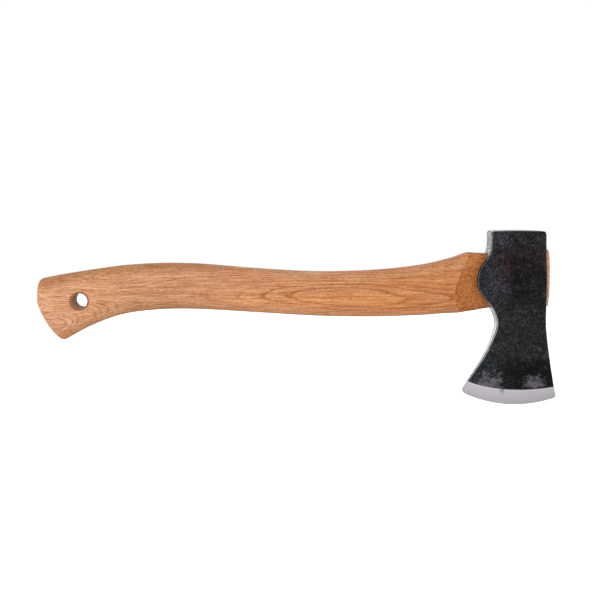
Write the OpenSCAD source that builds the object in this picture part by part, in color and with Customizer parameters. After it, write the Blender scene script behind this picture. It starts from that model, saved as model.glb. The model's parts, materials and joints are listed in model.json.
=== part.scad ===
// Hatchet: a forged steel head wedged onto a curved hardwood handle.
// Millimetres. X runs along the handle with the knob at the -X end, the cutting
// edge faces -Z, the poll faces +Z and Y is the thickness.
// Every size here is laid out from the centre of the eye, where head and handle
// meet. from_poll() then drops each finished piece, so that the part's origin is
// the centre of the poll face.

/* [Head] */
// Height of the poll face above the eye centre
poll_z = 34.3; // [31:0.1:38]
// Depth of the lowest point of the cutting edge below the eye centre
edge_z = 91.9; // [88:0.5:100]
// Width of the poll along the handle
poll_w = 38; // [36:0.5:41]
// Thickness of the poll
poll_t = 24; // [23:0.5:27]
// Thickness of the cheeks at the eye
cheek_t = 30; // [29:0.5:33]
// Radius of the curved cutting edge
edge_r = 88; // [75:1:120]
// Height of the ground bevel in the middle of the edge
bevel_h = 10.7; // [8:0.1:12]
// Thickness of the blade where the bevel starts
bevel_t = 4.8; // [3.5:0.1:6]
// Width of the eye on the handle side
eye_w = 16.8; // [15:0.1:18]
// Height of the eye on the handle side
eye_h = 39.4; // [37:0.1:41]

/* [Handle] */
// Distance from the eye centre to the knob end
grip_reach = 345.6; // [320:0.2:400]
// How far the tongue stands out past the eye
tongue_out = 4; // [2:0.1:8]
// Thickness of the grip at its slimmest
grip_t = 21; // [19:0.5:24]
// Diameter of the lanyard hole
lanyard_d = 11; // [8:0.5:12]
// Diameter of the lanyard hole's countersunk rim
lanyard_rim_d = 14.4; // [13:0.2:16]

/* [Wedges] */
// Thickness of the wooden wedge at its driven end
wood_wedge_t = 4.6; // [3:0.1:5.5]
// Depth the wooden wedge reaches into the tongue
wood_wedge_len = 32; // [25:1:36]
// Outer diameter of the round steel wedge at its driven end
ring_d = 12.6; // [10:0.1:14]
// Length of the round steel wedge
ring_len = 11; // [8:0.5:14]

/* [Hidden] */

fit_gap = 0.05;             // clearance all round between the pieces
far = 60;                   // cutting solids reach this far past the wood
past_end = 2;               // grooves are cut this far past the tongue's end
edge_t = 0.4;               // thickness left on the honed edge
edge_break = 0.8;           // broken corners of the forging
poll_r = 2;                 // rounded corners of the poll, seen from the side
half_poll = poll_w / 2;
bevel_z = bevel_h - edge_z; // lowest point of the bevel's upper line
bevel_r = 135;              // radius of the bevel's upper line
edge_mid_x = -1;            // the edge is lowest here
bevel_mid_x = 3;            // the bevel's upper line is lowest here

// The head's outline on each side, as [height, x], from the poll to the bevel.
handle_side = [
    [poll_z, -half_poll - 0.3],
    [20.5, -half_poll - 0.8],
    [14.8, -22.5],
    [6, -28.3],
    [-3, -29.7],
    [-11, -26.9],
    [-17.5, -21.4],
    [-24.5, -17.1],
    [-34, -14.9],
    [-48, -19.4],
    [-60, -25.7],
    [-77, -36.8],
];
top_side = [
    [poll_z, half_poll + 0.8],
    [0, 19.7],
    [-22, 19.9],
    [-36, 20.7],
    [-60, 24.0],
    [-80, 27.3],
];
heel_x = -39.5;             // the cutting edge runs from the heel
toe_x = 28.7;               // to the toe

// Thickness of the head down its middle, as [height, thickness].
head_thickness = [
    [poll_z, poll_t],
    [20, poll_t + 1.2],
    [6, cheek_t - 0.4],
    [-6, cheek_t - 0.4],
    [-22, 22.6],
    [-35, 15],
    [-50, 10.4],
    [-65, 7.4],
    [bevel_z, bevel_t],
];
face_crown = 0.1;           // share of the thickness lost at the outline

// The eye is an oval that tapers along X, wider where the wedges go in.
eye_mouth_x = -half_poll;
eye_top_x = half_poll;
eye_mid_z = [-2, 0.2];
eye_half_h = [eye_h / 2, eye_h / 2 + 1.2];
eye_half_w = [eye_w / 2, eye_w / 2 + 1];
eye_egg = 0.1;              // how much wider the oval is towards the poll

// The grip as [share of the reach, top, bottom, thickness], knob end first.
// The first bottoms lie beyond the end cut and the last tops above the shoulder.
grip = [
    [1.00, -0.8, -54.5, grip_t + 0.5],
    [0.95, 2.6, -45.8, grip_t + 1],
    [0.89, 5.9, -34.7, grip_t + 1],
    [0.825, 9.0, -26.5, grip_t + 0.5],
    [0.745, 10.7, -22.9, grip_t],
    [0.665, 10.3, -22.7, grip_t],
    [0.545, 7.0, -25.0, grip_t + 0.5],
    [0.42, 4.8, -27.5, grip_t + 1],
    [0.30, 5.8, -28.1, grip_t + 2],
    [0.20, 9.5, -27.0, grip_t + 3],
    [0.14, 14.3, -25.6, grip_t + 4],
    [0.09, 19.8, -25.3, grip_t + 4],
    [-0.10, 30.0, -25.6, grip_t + 4],
];
grip_squareness = 2.4;      // exponent of the oval section
tongue_x = half_poll + tongue_out;
shoulder_x = -31;           // the shoulder's sides spread from here, past the lugs
shoulder_slope_side = 0.3;  // how fast the shoulder spreads on the way to the grip
shoulder_slope_top = 0.05;
shoulder_slope_bottom = 0.155;
shoulder_power = 3;         // squareness of the shoulder's taper behind the lugs
shoulder_back = 60;         // length of the shoulder taper, past where it leaves the wood

knob_top_z = -0.9;
knob_r = 4;                 // rounded top corner of the knob
cut_from = [-grip_reach, -16.5];
cut_to = [-grip_reach + 15.3, -42.6];
cut_bulge = 1.4;            // the slanted end cut is slightly convex
knob_toe_r = 2.4;           // rounded bottom corner of the end cut
knob_toe_at = cut_to + knob_toe_r * [0.9, 0.35];
above_knob_x = -grip_reach + 40;
above_shoulder_x = -30;
lanyard_at = [-grip_reach + 31, -16.1];
lanyard_half_len = 9.3;     // the countersinks start here
tongue_r = 3.2;             // rounded top corner of the tongue's end
tongue_lean = 0.35;         // the tongue's end leans out above and back below
kerf_len = wood_wedge_len + 5;
kerf_root_t = 0.9;          // thickness of the wooden wedge's slot at its root
ring_inset = 0.7;           // the steel wedge is driven in past the tongue's end
ring_z = 1.5;
ring_wall = 1.1;
ring_taper = 0.4;

// A smooth curve through the points p, whose first item is the position and
// whose item c is the value there. Positions may rise or fall. slope is the
// curve's slope at point i, hermite joins two points with their slopes, and
// span counts the inner points already passed at x.
function slope(p, i, c) =
    let (a = max(i - 1, 0), b = min(i + 1, len(p) - 1))
    (p[b][c] - p[a][c]) / (p[b][0] - p[a][0]);
function hermite(a, b, ma, mb, t) =
    (2 * t ^ 3 - 3 * t ^ 2 + 1) * a + (t ^ 3 - 2 * t ^ 2 + t) * ma
    + (3 * t ^ 2 - 2 * t ^ 3) * b + (t ^ 3 - t ^ 2) * mb;
function span(p, x) =
    let (turn = sign(p[1][0] - p[0][0]),
         passed = [for (i = [1 : len(p) - 2]) if ((x - p[i][0]) * turn >= 0) i])
    len(passed);
function curve(p, x, c = 1) =
    let (i = span(p, x), run = p[i + 1][0] - p[i][0], t = (x - p[i][0]) / run)
    hermite(p[i][c], p[i + 1][c], slope(p, i, c) * run, slope(p, i + 1, c) * run, t);
function mix(a, b, t) = a + (b - a) * t;
function arc_z(low_z, r, mid_x, x) = low_z + r - sqrt(r ^ 2 - (x - mid_x) ^ 2);

// Points of the arc from a to b that bulges by s to the right of the way.
function bulge_arc(a, b, s, n) =
    let (chord = norm(b - a), r = chord ^ 2 / (8 * s) + s / 2,
         along = (b - a) / chord, out = [along[1], -along[0]],
         centre = (a + b) / 2 + out * (s - r), half = asin(chord / 2 / r))
    [for (i = [0 : n]) let (w = mix(-half, half, i / n))
        centre + r * (along * sin(w) + out * cos(w))];
function corner_arc(centre, r, from, to, n) =
    [for (i = [0 : n]) let (w = mix(from, to, i / n)) centre + r * [cos(w), sin(w)]];

// Faces of a closed tube of rings with the same number of points in each.
function ring_sides(rings, n) =
    [for (r = [0 : rings - 2], k = [0 : n - 1])
        let (a = r * n + k, b = r * n + (k + 1) % n)
        each [[a, a + n, b], [b, a + n, b + n]]];
module tube(sections) {
    n = len(sections[0]);
    last = (len(sections) - 1) * n;
    polyhedron(
        [for (s = sections) each s],
        [
            each ring_sides(len(sections), n),
            [for (k = [0 : n - 1]) k],
            [for (k = [n - 1 : -1 : 0]) last + k],
        ]
    );
}

// An oval section at x: power 2 is an ellipse, more is squarer. The egg share
// makes it wider towards the poll.
function oval(x, top, bottom, half_w, power, egg, n) =
    let (mid = (top + bottom) / 2, half_h = (top - bottom) / 2)
    [for (k = [0 : n - 1])
        let (w = 360 * k / n, c = cos(w), s = sin(w),
             rise = sign(s) * abs(s) ^ (2 / power))
        [x, half_w * (1 + egg * rise) * sign(c) * abs(c) ^ (2 / power), mid + half_h * rise]];

// The eye's oval at x, grown or shrunk by gap, where x is inside the head.
function eye_section(x, gap) =
    let (t = (x - eye_mouth_x) / (eye_top_x - eye_mouth_x),
         mid = mix(eye_mid_z[0], eye_mid_z[1], t),
         half = mix(eye_half_h[0], eye_half_h[1], t) + gap)
    oval(x, mid + half, mid - half, mix(eye_half_w[0], eye_half_w[1], t) + gap, 2, eye_egg, 40);

// The same oval on the way out to the grip. Between the lugs its sides stay put
// while its top and bottom spread; past the lugs the sides spread as well.
function shoulder_section(x, gap) =
    let (out = eye_mouth_x - x, past_lugs = max(0, shoulder_x - x),
         top = eye_mid_z[0] + eye_half_h[0] + gap + shoulder_slope_top * out,
         bottom = eye_mid_z[0] - eye_half_h[0] - gap - shoulder_slope_bottom * out)
    oval(x, top, bottom, eye_half_w[0] + gap + shoulder_slope_side * past_lugs,
         out > 0 ? shoulder_power : 2, eye_egg, 40);
function eye_sections(gap) = [
    shoulder_section(shoulder_x - shoulder_back, gap),
    shoulder_section(shoulder_x, gap),
    shoulder_section(eye_mouth_x, gap),
    eye_section(far, gap),
];

// Columns run from the handle side to the top side of the head; the first and
// last steps are the broken corners.
columns = [0, 0.025, each [for (i = [1 : 13]) i / 14], 0.975, 1];
body_rows = [0, 0.003, 0.007, 0.012, each [for (i = [1 : 30]) i / 30]];
bevel_rows = [0.5, 1];

function corner_cut(s) = (s == 0 || s == 1) ? edge_break : 0;
function rounding(depth, r) = depth < r ? r - sqrt(r ^ 2 - (r - depth) ^ 2) : 0;
function face_half_t(s, z) =
    curve(head_thickness, z) / 2 * (1 - face_crown * (2 * s - 1) ^ 2);
function head_point(s, t) =
    let (bevel_x = mix(handle_side[len(handle_side) - 1][1], top_side[len(top_side) - 1][1], s),
         z = mix(poll_z, arc_z(bevel_z, bevel_r, bevel_mid_x, bevel_x), t),
         inset = rounding(poll_z - z, poll_r),
         x = mix(curve(handle_side, z) + inset, curve(top_side, z) - inset, s),
         y = face_half_t(s, z) - corner_cut(s) * (1 - t) - rounding(poll_z - z, edge_break))
    [x, -y, z];
function edge_point(s) =
    let (x = mix(heel_x, toe_x, s))
    [x, -edge_t / 2, arc_z(-edge_z, edge_r, edge_mid_x, x) + corner_cut(s)];
function head_row(s, r) = r < len(body_rows)
    ? head_point(s, body_rows[r])
    : mix(head_point(s, 1), edge_point(s), bevel_rows[r - len(body_rows)]);

// The solid head before the eye is punched: rings run round it at each row.
module head_blank() {
    tube([for (r = [0 : len(body_rows) + len(bevel_rows) - 1]) [
        for (s = columns) head_row(s, r),
        for (i = [len(columns) - 1 : -1 : 0])
            let (p = head_row(columns[i], r)) [p[0], -p[1], p[2]],
    ]]);
}

module from_poll() {
    translate([0, 0, -poll_z])
        children();
}

module head() {
    color([0.2, 0.2, 0.21])
        from_poll() difference() {
            head_blank();
            tube(eye_sections(0));
        }
}

// The sawn ends of the handle, seen from the side.
module end_trim() {
    rotate([90, 0, 0])
        linear_extrude(far, center = true)
            polygon([
                each bulge_arc(cut_from, cut_to, cut_bulge, 8),
                each corner_arc(knob_toe_at, knob_toe_r, 225, 300, 4),
                [-grip_reach / 2, -far],
                [tongue_x - tongue_lean, -far],
                [tongue_x - tongue_lean, -eye_half_h[1]],
                each corner_arc([tongue_x + tongue_lean, eye_mid_z[1] + eye_half_h[1]]
                                - tongue_r * [1, 1], tongue_r, 0, 80, 5),
                [above_shoulder_x, far],
                [above_knob_x, far],
                each corner_arc([-grip_reach + knob_r, knob_top_z - knob_r], knob_r, 100, 180, 6),
            ]);
}

module grip_body() {
    steps = 54;
    shares = [for (i = [0 : steps]) mix(grip[0][0], grip[len(grip) - 1][0], i / steps)];
    tube([for (f = shares)
        oval(-f * grip_reach, curve(grip, f, 1), curve(grip, f, 2), curve(grip, f, 3) / 2,
             grip_squareness, 0, 32)]);
}

// Everything the shoulder's cuts and the eye leave of the wood, knob included.
module shoulder_and_tongue() {
    back_x = shoulder_x - shoulder_back;
    tube(eye_sections(-fit_gap));
    translate([-grip_reach - far, -far / 2, -far])
        cube([grip_reach + far + back_x, far, 2 * far]);
}

module lanyard_hole() {
    flare = (lanyard_rim_d - lanyard_d) / 2;
    translate([lanyard_at[0], 0, lanyard_at[1]])
        rotate([90, 0, 0]) {
            cylinder(h = far, d = lanyard_d, center = true, $fn = 64);
            for (side = [0, 1])
                mirror([0, 0, side])
                    translate([0, 0, lanyard_half_len])
                        cylinder(h = 4 * flare, d1 = lanyard_d, d2 = lanyard_d + 8 * flare, $fn = 64);
        }
}

// A wedge in the eye's long plane, thin at depth and thick at the tongue's end.
module kerf_wedge(depth, gap) {
    root_t = mix(wood_wedge_t, kerf_root_t, depth / kerf_len) / 2 + gap;
    end_t = mix(wood_wedge_t, kerf_root_t, -past_end / kerf_len) / 2 + gap;
    linear_extrude(far * 2, center = true)
        polygon([
            [tongue_x - depth, -root_t],
            [tongue_x + past_end, -end_t],
            [tongue_x + past_end, end_t],
            [tongue_x - depth, root_t],
        ]);
}

// The steel wedge, or with a gap the groove it was driven into, open at the end.
module ring_wedge(gap) {
    outer = ring_d / 2 + gap;
    inner = ring_d / 2 - ring_wall - gap;
    top = gap > 0 ? -ring_inset - past_end : 0;
    translate([tongue_x - ring_inset, 0, ring_z])
        rotate([0, -90, 0])
            rotate_extrude($fn = 64)
                polygon([
                    [inner, top],
                    [outer, top],
                    [outer - ring_taper, ring_len + gap],
                    [inner, ring_len + gap],
                ]);
}

module handle() {
    color([0.79, 0.56, 0.39])
        from_poll() difference() {
            intersection() {
                grip_body();
                shoulder_and_tongue();
                end_trim();
            }
            lanyard_hole();
            kerf_wedge(kerf_len, 0);
            ring_wedge(fit_gap);
        }
}

module wood_wedge() {
    color([0.86, 0.72, 0.52])
        from_poll() difference() {
            intersection() {
                kerf_wedge(wood_wedge_len, -fit_gap);
                tube(eye_sections(-fit_gap));
                end_trim();
            }
            ring_wedge(fit_gap);
        }
}

module steel_wedge() {
    color([0.62, 0.63, 0.65])
        from_poll() ring_wedge(0);
}

head();
handle();
wood_wedge();
steel_wedge();
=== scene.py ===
"""Looks of the hatchet: a forged head wedged onto a hickory handle.

Shapes are laid out in millimetres from the centre of the eye, as the CAD is, and
put() turns them into the frame's metres, whose origin is the poll face.
"""

import json
import math

import bmesh
import bpy
import numpy as np
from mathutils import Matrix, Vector, noise


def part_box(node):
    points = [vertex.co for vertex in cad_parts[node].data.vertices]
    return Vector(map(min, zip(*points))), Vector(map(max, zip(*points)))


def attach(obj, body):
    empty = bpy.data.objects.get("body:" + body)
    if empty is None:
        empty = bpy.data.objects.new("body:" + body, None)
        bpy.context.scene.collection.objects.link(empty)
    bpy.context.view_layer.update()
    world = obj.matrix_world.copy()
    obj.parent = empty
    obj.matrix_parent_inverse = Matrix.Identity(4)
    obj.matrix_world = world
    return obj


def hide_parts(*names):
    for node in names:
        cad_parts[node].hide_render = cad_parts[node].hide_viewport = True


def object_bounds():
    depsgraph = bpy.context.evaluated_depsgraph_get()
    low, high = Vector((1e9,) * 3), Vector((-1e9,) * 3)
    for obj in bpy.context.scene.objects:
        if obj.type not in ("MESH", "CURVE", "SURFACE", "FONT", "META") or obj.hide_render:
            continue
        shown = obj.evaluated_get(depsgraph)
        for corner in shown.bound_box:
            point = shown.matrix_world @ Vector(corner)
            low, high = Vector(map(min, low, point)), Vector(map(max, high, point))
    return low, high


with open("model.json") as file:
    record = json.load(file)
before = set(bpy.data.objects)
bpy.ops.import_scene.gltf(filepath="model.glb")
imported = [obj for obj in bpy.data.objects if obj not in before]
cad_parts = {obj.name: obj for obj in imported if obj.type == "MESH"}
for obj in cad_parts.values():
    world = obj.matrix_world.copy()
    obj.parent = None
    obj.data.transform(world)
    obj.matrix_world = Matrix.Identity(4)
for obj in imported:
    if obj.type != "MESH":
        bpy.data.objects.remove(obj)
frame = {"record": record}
scene = bpy.context.scene
CAD_LOW, CAD_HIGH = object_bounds()

# ---- sizes from the frame
MM = 1000.0
SHARP_ABOVE = 40  # degrees; shading breaks at steeper edges
TONGUE_LEAN = 0.35  # how far the tongue's end leans out above and back below
SLIVER = 5e-6  # metres; shorter edges are dissolved after a cut
EYE_DEPTH = 34.3  # the eye's centre lies this far below the poll face
(HEAD_LOW, HEAD_HIGH), (HANDLE_LOW, HANDLE_HIGH), (RING_LOW, RING_HIGH) = (
    [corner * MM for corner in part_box(node)] for node in ("head", "handle", "steel_wedge"))
LANYARD = next(m for m in frame["record"]["mounts"] if m["name"] == "lanyard_hole")

POLL_Z = HEAD_HIGH.z + EYE_DEPTH
EDGE_Z = HEAD_LOW.z + EYE_DEPTH
HEEL_X = HEAD_LOW.x
TOE_X = HEAD_HIGH.x
KNOB_X = HANDLE_LOW.x
TONGUE_X = HANDLE_HIGH.x - TONGUE_LEAN
HOLE_X = LANYARD["pos_m"][0] * MM
HOLE_Z = LANYARD["pos_m"][2] * MM + EYE_DEPTH
HOLE_R = LANYARD["dims"]["r_mm"]
HOLE_HALF_LEN = LANYARD["dims"]["length_mm"] / 2

# ---- the head's design
HALF_POLL = 19.0
HANDLE_SIDE = [  # height, x
    (POLL_Z, -HALF_POLL - 0.3),
    (20.5, -HALF_POLL - 0.8),
    (14.8, -22.5),
    (6, -28.3),
    (-3, -29.7),
    (-11, -26.9),
    (-17.5, -21.4),
    (-24.5, -17.1),
    (-34, -14.9),
    (-48, -19.4),
    (-60, -25.7),
    (-77, -36.8),
]
TOP_SIDE = [  # height, x
    (POLL_Z, HALF_POLL + 0.8),
    (0, 19.7),
    (-22, 19.9),
    (-36, 20.7),
    (-60, 24.0),
    (-80, 27.3),
]
BEVEL_Z = -81.2  # lowest point of the bevel's upper line
HEAD_THICKNESS = [  # height, thickness in the middle
    (POLL_Z, 24),
    (20, 25.2),
    (6, 29.6),
    (-6, 29.6),
    (-22, 22.6),
    (-35, 15),
    (-50, 10.4),
    (-65, 7.4),
    (BEVEL_Z, 4.8),
]
FACE_CROWN = 0.1  # share of the thickness lost at the outline
BEVEL_R = 135
BEVEL_MID_X = 3
EDGE_R = 88
EDGE_MID_X = -1
HEEL_R = 2.4
TOE_R = 1.4
HONED_HALF_T = 0.07
BEVEL_BELLY = 0.25
CORNER_R = 0.6
POLL_CORNER_R = 2.0
POLL_EDGE_R = 0.9
POLL_CROWN = 0.4
RIM_BREAK = 0.4
EYE_MID_Z = (-2, 0.2)
EYE_HALF_H = (19.7, 20.9)
EYE_HALF_W = (8.4, 9.4)
EYE_EGG = 0.1
EYE_MOUTH_X, EYE_TOP_X = -HALF_POLL, HALF_POLL

# ---- the handle's design
GRIP_T = 21
GRIP = [  # share of the reach, top, bottom, thickness
    (1.00, -0.8, -54.5, GRIP_T + 0.5),
    (0.95, 2.6, -45.8, GRIP_T + 1),
    (0.89, 5.9, -34.7, GRIP_T + 1),
    (0.825, 9.0, -26.5, GRIP_T + 0.5),
    (0.745, 10.7, -22.9, GRIP_T),
    (0.665, 10.3, -22.7, GRIP_T),
    (0.545, 7.0, -25.0, GRIP_T + 0.5),
    (0.42, 4.8, -27.5, GRIP_T + 1),
    (0.30, 5.8, -28.1, GRIP_T + 2),
    (0.20, 9.5, -27.0, GRIP_T + 3),
    (0.14, 14.3, -25.6, GRIP_T + 4),
    (0.09, 19.8, -25.3, GRIP_T + 4),
    (-0.10, 30.0, -25.6, GRIP_T + 4),
]
GRIP_POWER = 2.4
SHOULDER_X = -31
SLOPE_SIDE, SLOPE_TOP, SLOPE_BOTTOM = 0.3, 0.05, 0.155
SHOULDER_POWER = 3
FIT_GAP = 0.05
CUT_TOP_Z = -16.5
CUT_TOE = (15.3, -42.6)  # from the knob's end, height
CUT_BULGE = 1.4


# ---- arrays and curves
def join(*arrays, axis=0):
    return np.concatenate(arrays, axis)


def steps(count):
    """Shares from 0 to 1 in this many steps."""
    return np.linspace(0, 1, count + 1)


def stack(x, y, z):
    return np.stack(np.broadcast_arrays(x, y, z), -1).astype(float)


def smooth_curve(points, at, column=1):
    """Value of one column of points at the positions at, along a smooth curve."""
    table = np.array(points, float)
    if table[0, 0] > table[-1, 0]:
        table = table[::-1]
    x, y = table[:, 0], table[:, column]
    wide_x, wide_y = np.pad(x, 1, "edge"), np.pad(y, 1, "edge")
    slope = (wide_y[2:] - wide_y[:-2]) / (wide_x[2:] - wide_x[:-2])
    at = np.asarray(at, float)
    i = np.clip(np.searchsorted(x, at) - 1, 0, len(x) - 2)
    run = x[i + 1] - x[i]
    t = (at - x[i]) / run
    inside = (
        (2 * t**3 - 3 * t**2 + 1) * y[i]
        + (t**3 - 2 * t**2 + t) * slope[i] * run
        + (3 * t**2 - 2 * t**3) * y[i + 1]
        + (t**3 - t**2) * slope[i + 1] * run
    )
    before = y[0] + slope[0] * (at - x[0])
    after = y[-1] + slope[-1] * (at - x[-1])
    return np.where(at < x[0], before, np.where(at > x[-1], after, inside))


def mix(a, b, t):
    return a + (b - a) * t


def ease(t):
    t = np.clip(t, 0, 1)
    return t * t * (3 - 2 * t)


def rounding(depth, radius):
    """How far a rounded corner of this radius falls back at a depth from the end."""
    short = np.clip(radius - depth, 0, radius)
    return radius - np.sqrt(radius**2 - short**2)


def arc_height(low_z, radius, mid_x, x):
    return low_z + radius - np.sqrt(radius**2 - (x - mid_x) ** 2)


def seed_shift(seed):
    """How far a seed moves a noise, so that each seed gives a pattern of its own."""
    return seed, seed * 1.7, seed * 2.3


def rough(points, scale, seed):
    """Smooth noise between -1 and 1 at each of the points, in millimetres."""
    points = np.asarray(points, float)
    shift = Vector(seed_shift(seed))
    flat = [noise.noise(Vector(p) + shift) for p in points.reshape(-1, 3) / scale]
    return np.array(flat).reshape(points.shape[:-1])


# ---- mesh building
def put(points):
    """Millimetres from the eye's centre to metres in the frame."""
    return (np.asarray(points, float) - (0, 0, EYE_DEPTH)) / MM


def new_mesh(name, points, faces):
    mesh = bpy.data.meshes.new(name)
    mesh.from_pydata(points, [], faces)
    return mesh


def new_object(name, data):
    made = bpy.data.objects.new(name, data)
    scene.collection.objects.link(made)
    return made


class Shell:
    """Collects points and four-sided faces, and makes one closed piece of them."""

    def __init__(self):
        self.points = []
        self.count = 0
        self.faces = []
        self.marks = {}

    def add(self, xyz):
        """Adds an array of points and returns their numbers, in the same layout."""
        xyz = np.asarray(xyz, float)
        numbers = np.arange(self.count, self.count + xyz[..., 0].size)
        self.points.append(xyz.reshape(-1, 3))
        self.count += numbers.size
        return numbers.reshape(xyz.shape[:-1])

    def at(self, numbers):
        """Places of the points with these numbers."""
        return join(*self.points)[numbers]

    def sheet(self, numbers, flip=False, keep=None):
        """Faces between neighbouring rows and columns of point numbers."""
        a, b = numbers[:-1, :-1], numbers[1:, :-1]
        c, d = numbers[1:, 1:], numbers[:-1, 1:]
        quads = np.stack([a, b, c, d], -1)
        quads = quads.reshape(-1, 4) if keep is None else quads[keep]
        self.faces.append(quads[:, ::-1] if flip else quads)

    def fill(self, front, back, left, right, flip=False, settle=None):
        """Fills four lines of point numbers with a grid of faces, and returns its numbers."""
        places = spanned(*(self.at(line) for line in (front, back, left, right)))
        if settle:
            places[..., 0] = settle(places[..., 2], places[..., 1])
        grid = np.empty(places.shape[:2], int)
        grid[1:-1, 1:-1] = self.add(places[1:-1, 1:-1])
        grid[:, 0], grid[:, -1], grid[0], grid[-1] = front, back, left, right
        self.sheet(grid, flip)
        return grid

    def mark(self, name, numbers, value=1.0):
        """Gives points a named value that materials can read; it is 0 elsewhere."""
        self.marks.setdefault(name, []).append((numbers, value))

    def build(self, name, material, *cutters):
        """Makes the piece, takes the cutters out of it and shades it."""
        faces = join(*self.faces)
        used, faces = np.unique(faces, return_inverse=True)
        faces = [list(dict.fromkeys(face)) for face in faces.reshape(-1, 4).tolist()]
        mesh = new_mesh(name, put(self.at(used)), [face for face in faces if len(face) > 2])
        mesh.materials.append(material)
        for mark, places in self.marks.items():
            values = np.zeros(self.count, np.float32)
            for numbers, value in places:
                values[numbers] = value
            mesh.attributes.new(mark, "FLOAT", "POINT").data.foreach_set("value", values[used])
        piece = new_object(name, mesh)
        if cutters:
            carve(piece, cutters)
        shade(piece.data)
        return piece


def carve(piece, cutters):
    """Takes the cutters out of a piece and keeps the result as its mesh."""
    tools = [new_object(cutter.name, cutter) for cutter in cutters]
    for tool in tools:
        modifier = piece.modifiers.new(tool.name, "BOOLEAN")
        modifier.operation = "DIFFERENCE"
        modifier.solver = "EXACT"
        modifier.object = tool
    shaped = piece.evaluated_get(bpy.context.evaluated_depsgraph_get())
    mesh = bpy.data.meshes.new_from_object(shaped)
    edit = bmesh.new()
    edit.from_mesh(mesh)
    bmesh.ops.dissolve_degenerate(edit, dist=SLIVER, edges=edit.edges)
    edit.to_mesh(mesh)
    edit.free()
    piece.modifiers.clear()
    piece.data = mesh
    for tool in tools:
        bpy.data.objects.remove(tool)


def shade(mesh):
    """Smooth shading, broken at steep edges and along lines marked as folds."""
    mesh.polygons.foreach_set("use_smooth", [True] * len(mesh.polygons))
    mesh.set_sharp_from_angle(angle=math.radians(SHARP_ABOVE))
    if "fold" in mesh.attributes:
        folded = [point.value > 0.5 for point in mesh.attributes["fold"].data]
        for edge in mesh.edges:
            if all(folded[end] for end in edge.vertices):
                edge.use_edge_sharp = True


def spanned(front, back, left, right):
    """Points spanned between four lines that share corners, front and back along i."""
    u = np.linspace(0, 1, len(front))[:, None, None]
    v = np.linspace(0, 1, len(left))[None, :, None]
    along = (1 - v) * front[:, None] + v * back[:, None]
    across = (1 - u) * left[None] + u * right[None]
    corners = (1 - u) * ((1 - v) * left[0] + v * left[-1]) + u * ((1 - v) * right[0] + v * right[-1])
    return along + across - corners


def looped(numbers):
    """Point numbers with the first column repeated at the end, which closes the rings."""
    return join(numbers, numbers[:, :1], axis=1)


def bend(start, corner, end, t):
    """A curve from start to end that is pulled towards the corner between them."""
    return (1 - t) ** 2 * start + 2 * t * (1 - t) * corner + t**2 * end


# ---- head
FACE_COLUMNS = 132
STRIP_COLUMNS = 14
ARC_COLUMNS = 4
POLL_ROWS = 34
EYE_ROWS = 60
BLADE_ROWS = 118
BEVEL_ROWS = 20
WALL_COLUMNS = 24
POLL_CORNER_ROWS = 7
FINE_COLUMNS, FINE_STEP = 8, 0.35  # beside the outline, against a step of 1 further in
EDGE_CROWDING = 1.3  # rows crowd towards the cutting edge
FORGING = ((0.10, 15, 0), (0.05, 6, 3), (0.025, 2.2, 7))  # depth, patch size, seed
PIT_DEPTH = 0.06
OUTLINE_FADE = 3.0  # the faces' unevenness fades out this far from the outline
BEVEL_FADE = 2.5
CROWN_START_Z = 27
GROUND_FROM = 1.0  # the ground sides start this far in from the rounded corners


def eye_size(x):
    """Middle height, half height, half width and squareness of the eye's oval at x."""
    t = np.maximum(0, (x - EYE_MOUTH_X) / (EYE_TOP_X - EYE_MOUTH_X))
    out = np.maximum(0, EYE_MOUTH_X - x)
    mid, half = mix(*EYE_MID_Z, t), mix(*EYE_HALF_H, t)
    top = mid + half + SLOPE_TOP * out
    bottom = mid - half - SLOPE_BOTTOM * out
    half_w = mix(*EYE_HALF_W, t) + SLOPE_SIDE * np.maximum(0, SHOULDER_X - x)
    power = 2 + (SHOULDER_POWER - 2) * np.clip(out / (EYE_MOUTH_X - SHOULDER_X), 0, 1)
    return (top + bottom) / 2, (top - bottom) / 2, half_w, power


def eye_point(x, turn, grow=0.0):
    """A point of the eye's oval at x, turned up from the -Y side, grown outwards."""
    mid, half_h, half_w, power = eye_size(x)
    rise = np.sign(np.sin(turn)) * np.abs(np.sin(turn)) ** (2 / power)
    y = -(half_w + grow) * (1 + EYE_EGG * rise) * np.abs(np.cos(turn)) ** (2 / power)
    return stack(x, y, mid + (half_h + grow) * rise)


def eye_rim(side, turn, grow):
    """Where the grown oval leaves the head through one side of its outline."""
    x = np.full_like(turn, side[1][1])
    for _ in range(30):
        x = smooth_curve(side, eye_point(x, turn, grow)[..., 2])
    return eye_point(x, turn, grow)


def face_shares():
    """Shares across a face, with smaller steps near both outlines."""
    i = np.arange(FACE_COLUMNS)
    step = mix(FINE_STEP, 1, ease(np.minimum(i, FACE_COLUMNS - 1 - i) / FINE_COLUMNS))
    return join([0], np.cumsum(step)) / step.sum()


def poll_depths(to_eye):
    """Row depths from the poll face to the eye's top line, fine on the rounded corner."""
    turns = np.radians(np.linspace(0, 90, POLL_CORNER_ROWS + 1))
    corner = POLL_CORNER_R * (1 - np.cos(turns))
    return join(corner, np.linspace(POLL_CORNER_R, to_eye, POLL_ROWS - POLL_CORNER_ROWS)[1:])


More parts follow.
